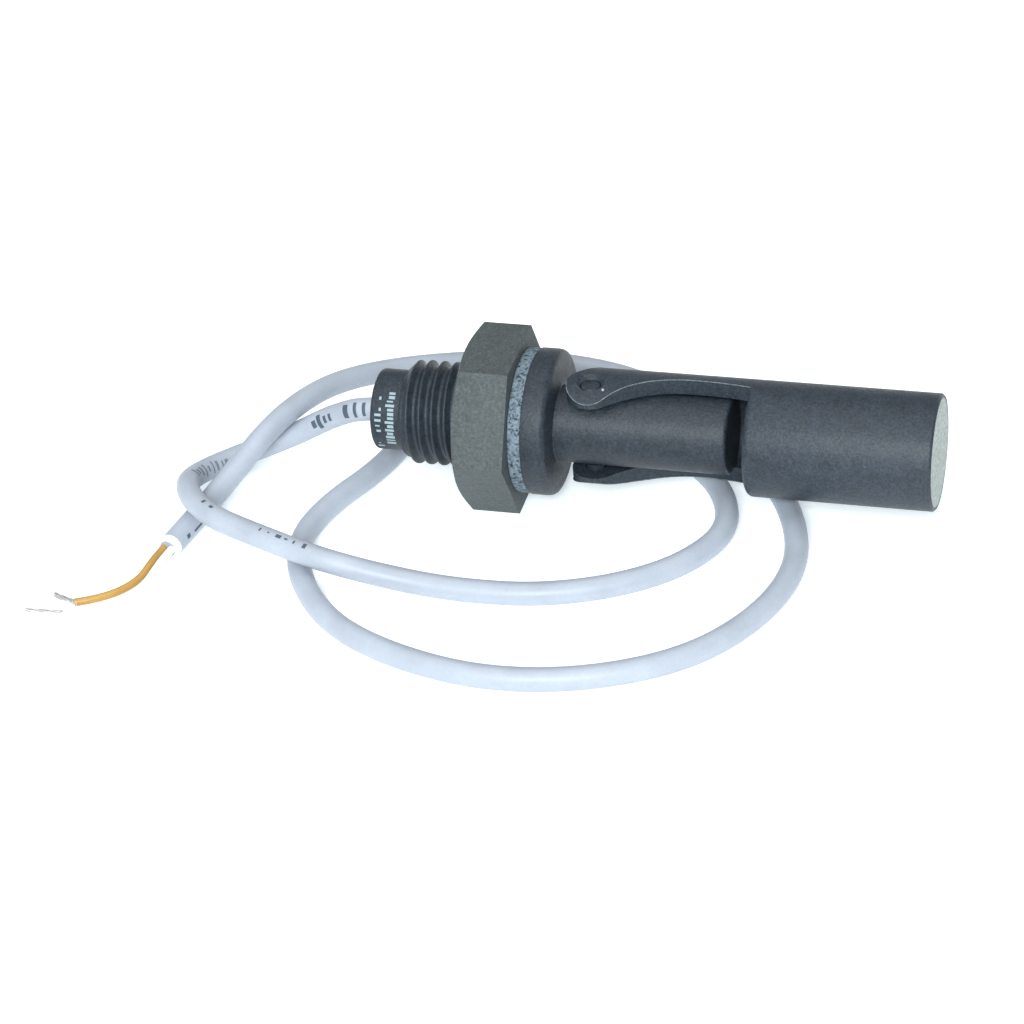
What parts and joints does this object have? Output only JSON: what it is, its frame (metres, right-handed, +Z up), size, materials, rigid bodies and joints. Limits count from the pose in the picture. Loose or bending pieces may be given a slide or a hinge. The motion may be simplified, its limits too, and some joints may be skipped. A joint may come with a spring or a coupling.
{
  "type": "side-mounted float level switch",
  "caption": "Horizontal reed float switch: threaded plastic shank with nut and washer, closed stem tube, hinged float beside it and a looped signal cable.",
  "frame": {"origin": "on the stem's axis, at the flange's seat face, where the tank wall's washer bears", "axes": "+X along the stem from the cable towards the float, +Z up with the part lying on a flat of its nut, hinge axis along Z, float swings towards +Y"},
  "size_m": [0.1302, 0.0859, 0.025],
  "materials": {
    "body_plastic": "moulded, matte, slightly mottled",
    "nut_plastic": "moulded, matte",
    "washer_grey": "speckled light grey fibre sheet",
    "float_plastic": "moulded, matte, slightly mottled",
    "cap_plastic": "rough, speckled grey",
    "magnet": "sintered ferrite",
    "holder_plastic": "natural moulded",
    "reed_glass": "clear green-tinted tube",
    "blade_metal": "plated nickel iron",
    "core_brown": "light brown insulation",
    "core_white": "white insulation",
    "tinned_copper": "tinned, dull",
    "shrink_sleeve": "black shrink sleeve",
    "resin": "cast black resin",
    "cable_grey": "smooth light blue-grey sheath"
  },
  "bodies": {
    "housing": {"switch_body": "body_plastic", "hex_nut": "nut_plastic", "sealing_washer": "washer_grey", "reed_glass": "reed_glass", "reed_blade_near": "blade_metal", "reed_blade_far": "blade_metal", "reed_carrier": "holder_plastic", "brown_core_inner": "core_brown", "solder_joint_near": "tinned_copper", "near_joint_sleeve": "shrink_sleeve", "white_core_inner": "core_white", "solder_joint_far": "tinned_copper", "potting_plug": "resin", "cable_sheath": "cable_grey", "brown_core": "core_brown", "brown_core_tip": "tinned_copper", "white_core": "core_white", "white_core_tip": "tinned_copper"},
    "float": {"float_shell": "float_plastic", "float_end_cap": "cap_plastic", "float_magnet": "magnet", "magnet_holder": "holder_plastic"}
  },
  "joints": [
    {"name": "float_swing", "type": "hinge", "parent": "housing", "child": "float", "pos_m": [0.0091, -0.0016, 0], "axis": [0, 0, 1], "range_deg": [0, 40]}
  ]
}
